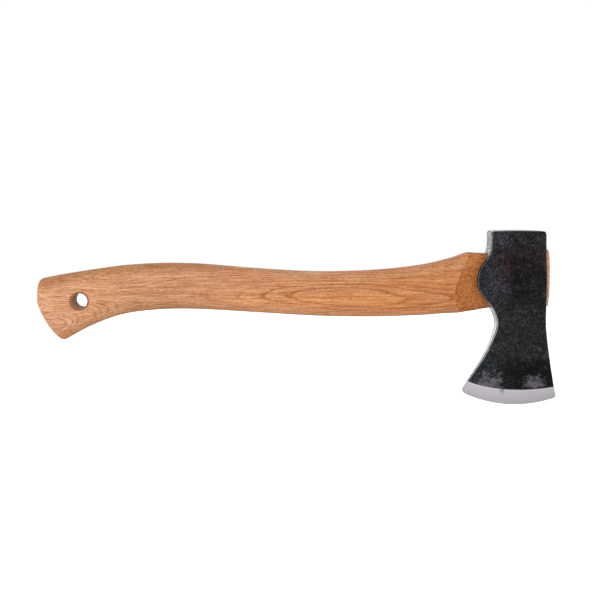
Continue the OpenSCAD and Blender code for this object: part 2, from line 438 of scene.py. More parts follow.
def head_layout():
    """Heights, outline and half thickness of the head on a grid of rows and shares."""
    s = face_shares()[None, :]
    turn = np.radians(np.linspace(90, -90, EYE_ROWS + 1))
    left_rim, right_rim = (eye_rim(side, turn, RIM_BREAK) for side in (HANDLE_SIDE, TOP_SIDE))
    eye_z = mix(left_rim[:, 2:], right_rim[:, 2:], s)
    depth = poll_depths(POLL_Z - eye_z[0].mean())
    poll_z = mix(POLL_Z, eye_z[0], (depth / depth[-1])[:, None])
    bevel_x = mix(HANDLE_SIDE[-1][1], TOP_SIDE[-1][1], s)
    bevel_z = arc_height(BEVEL_Z, BEVEL_R, BEVEL_MID_X, bevel_x)
    z = join(poll_z[:-1], eye_z, mix(eye_z[-1], bevel_z, steps(BLADE_ROWS)[1:, None]))
    left = smooth_curve(HANDLE_SIDE, z) + rounding(POLL_Z - z, POLL_CORNER_R)
    right = smooth_curve(TOP_SIDE, z) - rounding(POLL_Z - z, POLL_CORNER_R)
    half_t = smooth_curve(HEAD_THICKNESS, z) / 2 * (1 - FACE_CROWN * (2 * s - 1) ** 2)
    half_t = half_t - rounding(POLL_Z - z, POLL_EDGE_R)

    # the bevel runs from its upper line to the arc of the cutting edge
    t = 1 - (1 - steps(BEVEL_ROWS)[1:, None]) ** EDGE_CROWDING
    edge_x = mix(HEEL_X, TOE_X, s)
    edge_z = arc_height(EDGE_Z, EDGE_R, EDGE_MID_X, edge_x)
    edge_z = edge_z + rounding(edge_x - HEEL_X, HEEL_R) + rounding(TOE_X - edge_x, TOE_R)
    thinning = 1 - t + BEVEL_BELLY * t * (1 - t)
    z = join(z, mix(z[-1], edge_z, t))
    left = join(left, mix(left[-1], HEEL_X, t))
    right = join(right, mix(right[-1], TOE_X, t))
    half_t = join(half_t, mix(HONED_HALF_T, half_t[-1], thinning))
    eye_rows = slice(len(poll_z) - 1, len(poll_z) + EYE_ROWS)
    return s, z, left, right, half_t, eye_rows, turn, left_rim, right_rim


def half_ring(s, z, left, right, half_t, ends):
    """Points of the -Y half of the head, row by row from the left middle to the right."""
    radius = np.minimum(CORNER_R, 0.45 * half_t[:, :1])
    turn = np.linspace(math.pi / 2, 0, ARC_COLUMNS + 1)[:-1]
    sides = []
    for column, way, outline, end in ((0, 1, left, ends[0]), (-1, -1, right, ends[1])):
        strip_x, top_y = outline[:, column, None], -half_t[:, column, None]
        strip_y = mix(end[:, None], top_y + radius, steps(STRIP_COLUMNS)[:-1])
        arc_x = strip_x + way * radius * (1 - np.sin(turn))
        arc_y = top_y + radius * (1 - np.cos(turn))
        xs = join(np.broadcast_to(strip_x, strip_y.shape), arc_x, axis=1)
        sides.append(stack(xs, join(strip_y, arc_y, axis=1), z[:, column, None]))
    face = stack(mix(left + radius, right - radius, s), -half_t, z)
    return join(sides[0], face, sides[1][:, ::-1], axis=1)


def forged_unevenness(points, seed):
    """Depth that hammering and scale leave on the forged faces."""
    swell = sum(depth * rough(points, size, seed + own) for depth, size, own in FORGING)
    return swell - PIT_DEPTH * ease((rough(points, 3.1, seed + 11) - 0.3) / 0.25)


def make_head(material):
    shell = Shell()
    s, z, left, right, half_t, eye_rows, turn, left_rim, right_rim = head_layout()
    ends = np.zeros((2, len(z)))
    ends[:, eye_rows] = left_rim[:, 1], right_rim[:, 1]
    ring = half_ring(s, z, left, right, half_t, ends)
    side = STRIP_COLUMNS + ARC_COLUMNS
    faces = slice(side, -side)

    # the faces carry the forging's unevenness, which fades at rims and bevel
    face = ring[:, faces]
    bevel_top = len(z) - 1 - BEVEL_ROWS
    from_outline = np.minimum(face[..., 0] - left, right - face[..., 0])
    above_bevel = face[..., 2] - face[bevel_top, :, 2]
    below_poll = POLL_Z - face[..., 2]
    amount = ease(from_outline / OUTLINE_FADE) * ease(above_bevel / BEVEL_FADE)
    amount = amount * ease(below_poll / OUTLINE_FADE)
    halves = []
    for way, seed in ((1, 5.0), (-1, 40.0)):
        half = ring.copy()
        half[:, faces, 1] -= forged_unevenness(face, seed) * amount
        half[..., 1] *= way
        # the poll face is slightly crowned
        near_top = ease((half[..., 2] - CROWN_START_Z) / (POLL_Z - CROWN_START_Z))
        half[..., 2] -= POLL_CROWN * near_top * (half[..., 0] / HALF_POLL) ** 2
        halves.append(shell.add(half))

    # the halves meet but for the eye, and their sides end in one point at heel and toe
    front, back = halves
    closed = np.ones(len(z), bool)
    closed[eye_rows.start + 1:eye_rows.stop - 1] = False
    for column in (0, -1):
        back[closed, column] = front[closed, column]
    for half in halves:
        half[-1, :side] = half[-1, 0]
        half[-1, -side:] = half[-1, -1]
    shell.sheet(front)
    shell.sheet(back, flip=True)
    shell.sheet(np.stack([front[-1], back[-1]]))

    # poll face, between the middles of the rounded corners
    corner = STRIP_COLUMNS + ARC_COLUMNS // 2
    poll = shell.fill(
        front[0, corner:-corner],
        back[0, corner:-corner],
        join(front[0, corner::-1], back[0, 1:corner + 1]),
        join(front[0, -corner - 1:], back[0, -2:-corner - 2:-1]),
    )

    # eye walls, with a broken edge at both rims
    x = mix(left_rim[:, :1] + RIM_BREAK, right_rim[:, :1] - RIM_BREAK, steps(WALL_COLUMNS))
    walls = []
    for way, half in ((1, front), (-1, back)):
        wall = eye_point(x, turn[:, None])
        wall[..., 1] *= way
        walls.append(join(half[eye_rows, :1], shell.add(wall), half[eye_rows, -1:], axis=1))
    for row in (0, -1):
        walls[1][row] = walls[0][row]
    shell.sheet(walls[0], flip=True)
    shell.sheet(walls[1])

    # marks for the material: ground bare of scale, worn corners painted bright (wear and a painted
    # highlight), honed on the bevel
    for half in halves:
        for strip, corner in ((slice(0, side), side), (slice(-side, None), -side - 1)):
            inwards = ring[:, strip, 1] - ring[:, corner, None, 1]
            shell.mark("bare", half[:, strip], ease(inwards - CORNER_R - GROUND_FROM))
            shell.mark("worn", half[:, strip], ease((CORNER_R * 0.55 - inwards) / 0.2))
        shell.mark("worn", half[:, faces], 1 - ease((from_outline - 0.15) / 0.6))
        shell.mark("honed", half[bevel_top:])
        shell.mark("bevel_depth", half[bevel_top:], steps(BEVEL_ROWS)[:, None])
        shell.mark("fold", half[bevel_top, faces])
    shell.mark("bare", poll)
    for wall in walls:
        shell.mark("bore", wall)
    return shell.build("head_forging", material)


# ---- handle
RING_POINTS = 112
GRIP_RINGS = 330
TONGUE_RINGS = 70
EDGE_RINGS = 6
END_RINGS = 8
RAY_STRETCH = 1.5  # rays crowd towards the narrow top and bottom of a section
TONGUE_CORNER_R = 3.2
KERF_LEN = 37
KERF_ROOT_T = 0.9
KERF_END_T = 4.6
RING_R = 6.3
RING_WALL = 1.1
RING_TAPER = 0.4
RING_LIP = 0.25
RING_LEN = RING_HIGH.x - RING_LOW.x
RING_END_X = RING_HIGH.x
RING_Z = (RING_LOW.z + RING_HIGH.z) / 2 + EYE_DEPTH
TURN_POINTS = 96
RUN_OUT = 2  # cutters run this far past the tongue's end
FAR_Z = 40
HOLE_CELLS = 11
HOLE_LAYERS = 6
HOLE_WALL_ROWS = 14
RIM_SOFT = 0.35
SLIDE_LEN = 30  # over this length the rings slide from upright to a slanted end
KNOB_EDGE_R = (4.4, 1.2, 2.8)  # top, side, bottom
TONGUE_EDGE_R = (3.2, 0.6, 1.2)
KNOB_CROWN, HALF_KNOB_T = 0.2, 11
TONGUE_CROWN, HALF_TONGUE_T = 0.7, 9
CREASE_FROM, CREASE_TO = -78, -24  # the crease lies between these


def grip_size(x):
    """Middle height, half height and half thickness of the grip's section at x."""
    top, bottom, thick = (smooth_curve(GRIP, x / KNOB_X, column) for column in (1, 2, 3))
    return (top + bottom) / 2, (top - bottom) / 2, thick / 2


def rays():
    """Unit directions round a section, from the -Y side over the top."""
    turn = np.linspace(0, 2 * math.pi, RING_POINTS, endpoint=False)
    y, z = -np.cos(turn), RAY_STRETCH * np.sin(turn)
    length = np.hypot(y, z)
    return y / length, z / length


def grip_radius(x, ray):
    _, half_h, half_w = grip_size(x)
    sides = np.abs(ray[0] / half_w) ** GRIP_POWER + np.abs(ray[1] / half_h) ** GRIP_POWER
    return sides ** (-1 / GRIP_POWER)


def taper_radius(x, ray):
    """Distance from the grip's middle to the shoulder taper and the tongue, by halving."""
    start = grip_size(x)[0]
    mid, half_h, half_w, power = eye_size(x)
    half_h, half_w = half_h - FIT_GAP, half_w - FIT_GAP
    low, high = np.zeros_like(x * ray[0]), np.full_like(x * ray[0], 80.0)
    for _ in range(32):
        r = (low + high) / 2
        rise = (start + r * ray[1] - mid) / half_h
        width = half_w * (1 + EYE_EGG * rise)
        width = width * np.clip(1 - np.abs(rise) ** power, 0, None) ** (1 / power)
        inside = (np.abs(rise) < 1) & (np.abs(r * ray[0]) < width)
        low, high = np.where(inside, r, low), np.where(inside, high, r)
    return low


def handle_point(x, ray):
    r = np.minimum(grip_radius(x, ray), taper_radius(x, ray))
    return stack(x, r * ray[0], grip_size(x)[0] + r * ray[1])


def shoulder_crease(ray):
    """Where along each ray's line the shoulder taper starts to cut the grip."""
    x = np.linspace(CREASE_FROM, CREASE_TO, 400)[:, None]
    spare = taper_radius(x, ray) - grip_radius(x, ray)
    first = np.argmax(spare < 0, axis=0)
    column = np.arange(RING_POINTS)
    before, after = spare[first - 1, column], spare[first, column]
    return mix(x[first - 1, 0], x[first, 0], before / (before - after))


def knob_end(z, y):
    """X of the knob's sawn end: upright above, then a slightly convex slanted cut."""
    start = np.array([KNOB_X, CUT_TOP_Z])
    toe = np.array([KNOB_X + CUT_TOE[0], CUT_TOE[1]])
    chord = np.linalg.norm(toe - start)
    radius = chord**2 / (8 * CUT_BULGE) + CUT_BULGE / 2
    along = (toe - start) / chord
    outwards = np.array([along[1], -along[0]])
    centre = (start + toe) / 2 + outwards * (CUT_BULGE - radius)
    slanted = centre[0] - np.sqrt(np.clip(radius**2 - (z - centre[1]) ** 2, 0, None))
    below = toe[0] + (toe[1] - z) * 0.75
    x = np.where(z > CUT_TOP_Z, KNOB_X, np.where(z > toe[1], slanted, below))
    return x + KNOB_CROWN * (y / HALF_KNOB_T) ** 2


def tongue_end(z, y):
    """X of the tongue's sawn end, which leans out above and back below."""
    lean = TONGUE_LEAN * np.clip(z / EYE_HALF_H[1], -1, 1)
    return TONGUE_X + lean - TONGUE_CROWN * (y / HALF_TONGUE_T) ** 2


def rounded_end(ray, end, radii, inwards):
    """Rings over a sawn end's rounded edge, from the side surface on to the end face."""
    radius = by_quarter(ray[1], *radii)
    x = np.full(RING_POINTS, KNOB_X if inwards > 0 else TONGUE_X)
    for _ in range(40):
        side = handle_point(x, ray)
        x = mix(x, end(side[..., 2], side[..., 1]), 0.7)
    corner = handle_point(x, ray)
    first = handle_point(x + inwards * radius, ray)
    last = corner - stack(0, ray[0] * radius, ray[1] * radius)
    last[..., 0] = end(last[..., 2], last[..., 1])
    return bend(first, corner, last, steps(EDGE_RINGS)[:, None, None])


def end_face(shell, ring, end, flip):
    """Closes a ring of point numbers: rings run inwards, then a grid fills the middle."""
    xyz = shell.at(ring)
    middle = xyz.mean(axis=0)
    share = np.linspace(1, 0.45, END_RINGS + 1)[1:, None, None]
    rings = middle + (xyz - middle) * share
    rings[..., 0] = end(rings[..., 2], rings[..., 1])
    numbers = join(ring[None], shell.add(rings))
    shell.sheet(looped(numbers), flip)
    quarter = len(ring) // 4
    inner = np.roll(numbers[-1], -quarter // 2)
    inner = join(inner, inner[:1])
    front, right, back, left = (inner[k * quarter:(k + 1) * quarter + 1] for k in range(4))
    grid = shell.fill(front, back[::-1], left[::-1], right, not flip, end)
    return join(numbers.ravel(), grid.ravel())


def by_quarter(ray_z, top, side, bottom):
    """A value that changes smoothly from the top over the sides to the bottom."""
    return side + np.where(ray_z > 0, top - side, bottom - side) * ray_z**4


def make_handle(material):
    shell = Shell()
    ray = rays()
    knob = rounded_end(ray, knob_end, KNOB_EDGE_R, 1)
    tongue = rounded_end(ray, tongue_end, TONGUE_EDGE_R, -1)
    crease = shoulder_crease(ray)

    # rings slide from upright to the slant of the knob, the crease and the tongue's end
    from_x, to_x = knob[0, :, 0], crease
    x = mix(from_x.mean(), to_x.mean(), steps(GRIP_RINGS)[:, None])
    near_knob = 1 - ease((x - from_x.mean()) / SLIDE_LEN)
    near_crease = 1 - ease((to_x.mean() - x) / SLIDE_LEN)
    x = x + near_knob * (from_x - from_x.mean()) + near_crease * (to_x - to_x.mean())
    grip = handle_point(x, ray)
    neck_x = mix(crease, tongue[0, :, 0], steps(TONGUE_RINGS)[1:, None])
    neck = handle_point(neck_x, ray)
    rings = join(knob[::-1], grip[1:], neck, tongue[1:])

    numbers = shell.add(rings)
    bore_grip(shell, rings, numbers)
    mid, half_h, _ = grip_size(rings[..., 0])
    crease_row = EDGE_RINGS + GRIP_RINGS
    shell.mark("height", numbers, (rings[..., 2] - mid) / half_h)
    shell.mark("fold", numbers[crease_row])
    shell.mark("carved", numbers[crease_row], 0.5)
    shell.mark("carved", numbers[crease_row + 1:])
    shell.mark("sawn", end_face(shell, numbers[0], knob_end, True))
    shell.mark("sawn", end_face(shell, numbers[-1], tongue_end, False))
    return shell.build("handle_haft", material, kerf_cutter(), ring_cutter())


def side_depth(x, z):
    """Half thickness of the grip at a place seen from the side."""
    mid, half_h, half_w = grip_size(x)
    return half_w * (1 - np.abs((z - mid) / half_h) ** GRIP_POWER) ** (1 / GRIP_POWER)


def around_hole(radius, turn):
    """X and height at a radius from the lanyard hole's axis."""
    return HOLE_X + radius * np.cos(turn), HOLE_Z + radius * np.sin(turn)


def side_ring(radius, turn, way):
    """A ring round the hole on the handle's side."""
    x, z = around_hole(radius, turn)
    return stack(x, way * side_depth(x, z), z)


def countersink_ring(radius, turn, way):
    """A ring on the countersink, which opens outwards at 45 degrees."""
    x, z = around_hole(radius, turn)
    return stack(x, way * (HOLE_HALF_LEN + radius - HOLE_R), z)


def bore_grip(shell, rings, numbers):
    """Side faces of the handle, with the countersunk lanyard hole set into both sides."""
    row = np.abs(rings[:, 0, 0] - HOLE_X).argmin()
    rows = slice(row - HOLE_CELLS, row + HOLE_CELLS + 1)
    keep = np.ones((len(rings) - 1, RING_POINTS), bool)
    squares = []
    for way, middle in ((-1, 0), (1, RING_POINTS // 2)):
        # a square of the ring grid round the hole, seen with the knob on the left
        columns = (middle - way * np.arange(-HOLE_CELLS, HOLE_CELLS + 1)) % RING_POINTS
        keep[rows.start:rows.stop - 1, columns[:-1] if way < 0 else columns[1:]] = False
        block = numbers[rows][:, columns]
        square = join(block[:-1, 0], block[-1, :-1], block[:0:-1, -1], block[0, :0:-1])
        squares.append((way, square))
    shell.sheet(looped(numbers), keep=keep)

    bore_rims = []
    for way, square in squares:
        x, _, z = shell.at(square).T
        turn = np.arctan2(z - HOLE_Z, x - HOLE_X)
        rim = np.full(len(square), HOLE_R + 1.5)
        for _ in range(12):
            rim = HOLE_R + side_depth(*around_hole(rim, turn)) - HOLE_HALF_LEN
        reach = mix(np.hypot(x - HOLE_X, z - HOLE_Z), rim + RIM_SOFT, steps(HOLE_LAYERS)[1:, None])
        skin = side_ring(reach, turn, way)
        # the rim is softened, then the countersink runs in to the bore
        inside = countersink_ring(rim - RIM_SOFT, turn, way)
        soft = bend(skin[-1], side_ring(rim, turn, way), inside, steps(4)[1:, None, None])
        cone = [countersink_ring(mix(rim - RIM_SOFT, HOLE_R, k), turn, way) for k in (0.5, 1)]
        layers = join(square[None], shell.add(join(skin, soft, np.array(cone))))
        shell.sheet(looped(layers), flip=way < 0)
        shell.mark("bore", layers[HOLE_LAYERS + 3:])
        bore_rims.append((layers[-1], turn))
    (front, turn), (back, _) = bore_rims
    x, z = around_hole(HOLE_R, turn)
    depth = np.linspace(-HOLE_HALF_LEN, HOLE_HALF_LEN, HOLE_WALL_ROWS + 1)[1:-1, None]
    bore = join(front[None], shell.add(stack(x, depth, z)), back[None])
    shell.sheet(looped(bore), flip=True)
    shell.mark("bore", bore)


def kerf_half(x):
    """Half thickness of the wedge's slot at x."""
    return mix(KERF_END_T, KERF_ROOT_T, (TONGUE_X - x) / KERF_LEN) / 2


def kerf_cutter():
    """The wedge's slot, run out past the end and the top and bottom of the tongue."""
    lines = [(x, z) for x in (TONGUE_X - KERF_LEN, TONGUE_X + RUN_OUT) for z in (-FAR_Z, FAR_Z)]
    corners = [(x, side * kerf_half(x), z) for x, z in lines for side in (-1, 1)]
    faces = [(0, 1, 3, 2), (4, 6, 7, 5), (0, 4, 5, 1), (2, 3, 7, 6), (0, 2, 6, 4), (1, 5, 7, 3)]
    return new_mesh("kerf_cutter", put(corners), faces)


def revolved(profile):
    """Point grid of a closed profile of (radius, x) turned about the ring wedge's axis."""
    turn = np.linspace(0, 2 * math.pi, TURN_POINTS, endpoint=False)[:, None]
    profile = np.array(profile, float)
    return stack(profile[:, 1], profile[:, 0] * np.cos(turn), RING_Z + profile[:, 0] * np.sin(turn))


def closed_both_ways(numbers):
    return looped(join(numbers, numbers[:1]))


def ring_cutter():
    """The groove that the ring wedge was driven into, open at the tongue's end."""
    inner, outer = RING_R - RING_WALL - FIT_GAP, RING_R + FIT_GAP
    deep, open_x = RING_END_X - RING_LEN - FIT_GAP, TONGUE_X + RUN_OUT
    profile = [(inner, open_x), (outer, open_x), (outer - RING_TAPER, deep), (inner, deep)]
    shell = Shell()
    shell.sheet(closed_both_ways(shell.add(revolved(profile))), flip=True)
    return new_mesh("ring_cutter", put(join(*shell.points)), join(*shell.faces).tolist())


# ---- wedges
WEDGE_LEN = 32
WEDGE_ROWS = 40
WEDGE_COLUMNS = 36
WEDGE_LAYERS = 4
WEDGE_CROWDING = 1.6  # rows crowd towards the driven end
WEDGE_CROWN = 0.12  # how much lower the wedge's sides are than its middle
TUBE_ROWS = 11
LIP_ROWS = 6


def make_wood_wedge(material):
    shell = Shell()
    start_x = TONGUE_X - WEDGE_LEN
    share = 1 - (1 - steps(WEDGE_ROWS)[:, None, None]) ** WEDGE_CROWDING
    up = steps(WEDGE_COLUMNS)[None, :, None]
    across = np.linspace(-1, 1, WEDGE_LAYERS + 1)[None, None, :]
    # it fills the tongue from the bottom to the top, which is rounded at the end
    x = mix(start_x, TONGUE_X, share)
    mid, half_h, _, _ = eye_size(x)
    half_h = half_h - FIT_GAP
    z = mix(mid - half_h, mid + half_h - rounding(TONGUE_X - x, TONGUE_CORNER_R), up)
    x = mix(start_x, tongue_end(z, 0), share)
    y = (kerf_half(x) - FIT_GAP) * across
    # the top and bottom follow the eye's oval
    drop = WEDGE_CROWN * across**2 * (2 * up - 1)
    grid = stack(x, y, z - drop)
    numbers = np.empty(grid.shape[:3], int)
    outside = np.ones(numbers.shape, bool)
    outside[1:-1, 1:-1, 1:-1] = False
    numbers[outside] = shell.add(grid[outside])
    shell.sheet(numbers[:, :, 0])
    shell.sheet(numbers[:, :, -1], flip=True)
    shell.sheet(numbers[:, 0], flip=True)
    shell.sheet(numbers[:, -1])
    shell.sheet(numbers[0])
    shell.sheet(numbers[-1], flip=True)
    shell.mark("sawn", numbers[-1])
    return shell.build("wedge_of_wood", material, ring_cutter())


def make_ring_wedge(material):
    """A short steel tube, sharpened at depth and softened at its driven lip."""
    outer, inner = RING_R, RING_R - RING_WALL
    deep, lip_x = RING_END_X - RING_LEN, RING_END_X - RING_LIP
    outside = [(outer - RING_TAPER * t, lip_x - t * (RING_LEN - RING_LIP)) for t in steps(TUBE_ROWS)]
    inside = [(inner, mix(deep, lip_x, t)) for t in steps(TUBE_ROWS)]
    turn = np.radians(np.linspace(180, 0, LIP_ROWS + 1))[1:-1]
    width = (outer - inner) / 2
    crest = [(inner + width + width * math.cos(a), lip_x + RING_LIP * math.sin(a)) for a in turn]
    shell = Shell()
    numbers = shell.add(revolved(outside + inside + crest))
    shell.sheet(closed_both_ways(numbers), flip=True)
    return shell.build("wedge_of_steel", material)


# ---- material nodes
def paint(red, green, blue):
    """A screen colour, 0 to 255, as the linear colour that nodes take."""
    shades = [value / 255 for value in (red, green, blue)]
    return (*[v / 12.92 if v < 0.04045 else ((v + 0.055) / 1.055) ** 2.4 for v in shades], 1)


class Value:
    """What a node gives out. Sums, products and ramps of it make the nodes they need."""

    def __init__(self, nodes, socket):
        self.nodes = nodes
        self.socket = socket

    def other(self, out):
        """Another output of the same node."""
        return Value(self.nodes, self.socket.node.outputs[out])

    def __add__(self, other):
        return self.nodes.math("ADD", self, other)

    def __radd__(self, other):
        return self.nodes.math("ADD", other, self)

    def __mul__(self, other):
        return self.nodes.math("MULTIPLY", self, other)

    def __neg__(self):
        return self * -1.0

    def __sub__(self, other):
        return self + -other

    def __rsub__(self, other):
        return self.nodes.math("SUBTRACT", other, self)

    def ramp(self, low, high, to_low=0.0, to_high=1.0, kind="SMOOTHSTEP"):
        """A step from to_low at low to to_high at high."""
        inputs = enumerate((self, low, high, to_low, to_high))
        return self.nodes.node("MapRange", inputs, interpolation_type=kind)


class Nodes:
    """A node tree that is wired with short calls."""

    def __init__(self, tree):
        self.tree = tree

    def feed(self, node, inputs):
        """Feeds a node's inputs, which are given by name or by number."""
        for key, value in dict(inputs).items():
            if isinstance(value, Value):
                self.tree.links.new(value.socket, node.inputs[key])
            else:
                node.inputs[key].default_value = value

    def node(self, kind, inputs=(), out=0, **settings):
        """Adds a shader node and returns one of its outputs."""
        made = self.tree.nodes.new("ShaderNode" + kind)
        for key, value in settings.items():
            setattr(made, key, value)
        self.feed(made, inputs)
        return Value(self, made.outputs[out])

    def math(self, operation, *values):
        return self.node("Math", enumerate(values), operation=operation)

    def most(self, first, second):
        return self.math("MAXIMUM", first, second)

    def vector(self, x, y, z):
        return self.node("CombineXYZ", enumerate((x, y, z)))

    def parts(self, vector):
        x = self.node("SeparateXYZ", {0: vector})
        return x, x.other(1), x.other(2)

    def scaled(self, vector, factors, shift):
        inputs = enumerate((vector, factors, shift))
        return self.node("VectorMath", inputs, operation="MULTIPLY_ADD")

    def between(self, share, first, second):
        """A mix of two numbers."""
        return self.node("Mix", {0: share, 2: first, 3: second}, data_type="FLOAT")

    def blend(self, share, first, second, mode="MIX"):
        """A mix of two colours."""
        inputs = {0: share, 6: first, 7: second}
        return self.node("Mix", inputs, 2, data_type="RGBA", blend_type=mode)

    def tinted(self, colour, tint, share=1.0):
        """A colour multiplied by a tint, to this share."""
        return self.blend(share, colour, self.blend(1.0, colour, tint, "MULTIPLY"))

    def shaded(self, colour, factor):
        """A colour made lighter or darker by a factor."""
        return self.node("VectorMath", {0: colour, "Scale": factor}, operation="SCALE")


class Looks(Nodes):
    """A material whose places and sizes are in millimetres from the eye's centre."""

    def __init__(self, name):
        self.material = bpy.data.materials.new(name)
        self.material.use_nodes = True
        super().__init__(self.material.node_tree)
        metres = self.node("TexCoord", out="Object")
        self.place = self.scaled(metres, (MM, MM, MM), (0, 0, EYE_DEPTH))
        self.x, self.y, self.z = self.parts(self.place)

    def seeded(self, place, size, seed):
        """Places counted in steps of size, (x, y, z), and moved by a seed."""
        return self.scaled(place, [1 / s for s in size], seed_shift(seed))

    def noise(self, size, seed=0.0, detail=2.0, roughness=0.5, distortion=0.0, place=None):
        """Noise from 0 to 1 whose patches measure about size, (x, y, z)."""
        return self.node("TexNoise", {
            "Vector": self.seeded(place or self.place, size, seed),
            "Scale": 1.0,
            "Detail": detail,
            "Roughness": roughness,
            "Distortion": distortion,
        }, "Fac")

    def dots(self, gap, seed, size=0.3, luck=0.6):
        """Scattered dots about gap apart, of which the luckiest are kept."""
        inputs = {"Vector": self.seeded(self.place, (gap, gap, gap), seed), "Scale": 1.0}
        distance = self.node("TexVoronoi", inputs, "Distance")
        lucky = distance.other("Color").ramp(luck - 0.03, luck + 0.03)
        return distance.ramp(size + 0.12, size - 0.1) * lucky

    def patch(self, x, z, reach_x, reach_z):
        """A soft oval patch about (x, z), 1 in its middle."""
        from_x, from_z = self.x - x, self.z - z
        squares = from_x * from_x * (1 / reach_x**2) + from_z * from_z * (1 / reach_z**2)
        return self.math("EXPONENT", -squares)

    def mark(self, name):
        return self.node("Attribute", out="Fac", attribute_name=name)

    def bump(self, height, distance):
        """The surface's input for relief of this height times distance."""
        inputs = {"Height": height, "Distance": distance / MM, "Strength": 1.0}
        return {"Normal": self.node("Bump", inputs)}

    def finish(self, colour, roughness, specular, metallic=0.0, more=()):
        """Feeds the surface and any more of its inputs, and returns the material."""
        shader = self.tree.nodes["Principled BSDF"]
        self.feed(shader, {"Base Color": colour, "Roughness": roughness})
        self.feed(shader, {"Specular IOR Level": specular, "Metallic": metallic})
        self.feed(shader, more)
        return self.material


# ---- wood
# patches are given as x, z and how far they reach along x and z
PITH_Y = -60.0  # the tree's heart lay this far in front of the handle's middle
PITH_Z = -18.0
KNOB_PITH_DROP = 18.0
RING_GAP = 1.15
BELLY_SWING_X = -135.0
TOE_SWIRL = (-330.0, -39.0, 36.0, 28.0)
DARK_FIBRE = (0.81, 0.74, 0.66, 1)
LIGHT_FIBRE = (1.14, 1.17, 1.20, 1)

KNOB_TINT = (1.06, 1.21, 1.40, 1)
SHOULDER_TINT = (0.86, 0.77, 0.63, 1)
HAND_TINT = (0.89, 0.87, 0.86, 1)
HAND_PATCH = (-252, -22, 42, 40)
SHADE_TINT = (0.78, 0.76, 0.80, 1)
SHADE_PATCH = (-20, -30, 34, 11)
# painted shade for the grip's narrow top and bottom, and a painted highlight for the top further on
EDGE_SHADE_TINT = (0.80, 0.73, 0.62, 1)
TOP_HIGHLIGHT_TINT = (1.05, 1.17, 1.38, 1)
BAND_TINT = (0.86, 0.80, 0.76, 1)
BAND_SLOPE = 0.19
LENS_TINT = (1.09, 1.07, 0.93, 1)
LENS_PATCH = (-138, -15.5, 76, 5.5)
# painted highlight along the crease, and painted shade on the carved facet past it
CREASE_HIGHLIGHT_TINT = (1.12, 1.14, 1.16, 1)
FACET_SHADE_TINT = (0.82, 0.68, 0.44, 1)
CARVED_SLANT = 0.7
SAWN_TINT = (0.62, 0.50, 0.40, 1)


def growth_rings(looks):
    """Depth through the growth rings, in ring numbers, at every place in the wood."""
    knob_share = looks.x.ramp(-230, -320)
    dy = looks.y - PITH_Y
    dz = looks.z - PITH_Z + knob_share * KNOB_PITH_DROP
    radius = looks.math("SQRT", dy * dy + dz * dz)
    # the heart wandered nearer to the face in the belly and at the knob
    swing = looks.math("COSINE", (looks.x - BELLY_SWING_X) * (math.tau / 200))
    slow = looks.noise((120, 26, 26), seed=3, detail=1.5)
    depth = radius + swing * -1.3 + looks.patch(*TOE_SWIRL) * -7.5 + slow * 7.0
    return depth * (1 / RING_GAP)


def wood_looks(name, pale, dark, warm, cool, strength=1.0):
    """Oiled, ring-porous hardwood with its grain along X."""
    looks = Looks(name)
    fibres = looks.noise((30, 0.75, 0.75), seed=1, detail=3, roughness=0.65, distortion=0.15)
    streaks = looks.noise((60, 3.2, 3.2), seed=5, detail=2)
    hairs = looks.noise((2.6, 0.8, 0.8), seed=17, detail=3, roughness=0.75)
    pores = looks.noise((9, 0.45, 0.45), seed=7, detail=1)
    lines = looks.noise((38, 0.8, 0.55), seed=23, detail=1.5)
    patches = looks.noise((45, 9, 9), seed=12, detail=2)

    # each ring is dark early in its year, some rings more than others
    rings = growth_rings(looks)
    within = looks.math("FRACT", rings)
    ring_number = looks.vector(looks.math("FLOOR", rings), 0.0, 0.0)
    ring_mood = looks.noise((1.7, 1, 1), seed=9, detail=0, place=ring_number)
    ring_share = within.ramp(0.0, 0.08) * within.ramp(0.10, 0.42, 1.0, 0.0)
    ring_share = ring_share * ring_mood.ramp(0.3, 0.7, 0.35, 1.0)
    # the rings show less where the shoulder was cut across them
    ring_share = ring_share * looks.mark("carved").ramp(0, 1, 1.0, 0.35)
    ring_share = ring_share * hairs.ramp(0.4, 0.6, 1.0, 0.6)
    pore_share = pores.ramp(0.55, 0.66) * (0.45 + ring_share * 0.55)
    line_share = lines.ramp(0.57, 0.65) * patches.ramp(0.4, 0.6, 0.6, 0.2)

    colour = looks.blend(patches.ramp(0.35, 0.65), warm, cool)
    colour = looks.blend(streaks.ramp(0.3, 0.7, 0.15, 0.75), colour, pale)
    for share in (ring_share * (0.9 * strength), pore_share * (0.72 * strength), line_share):
        colour = looks.blend(share, colour, dark)
    for threads in (hairs.ramp(0.3, 0.7), fibres.ramp(0.36, 0.64)):
        colour = looks.tinted(colour, looks.blend(threads, DARK_FIBRE, LIGHT_FIBRE), strength)
    relief = fibres * 0.6 - pore_share + ring_share * -0.35
    return looks, colour, relief, pore_share


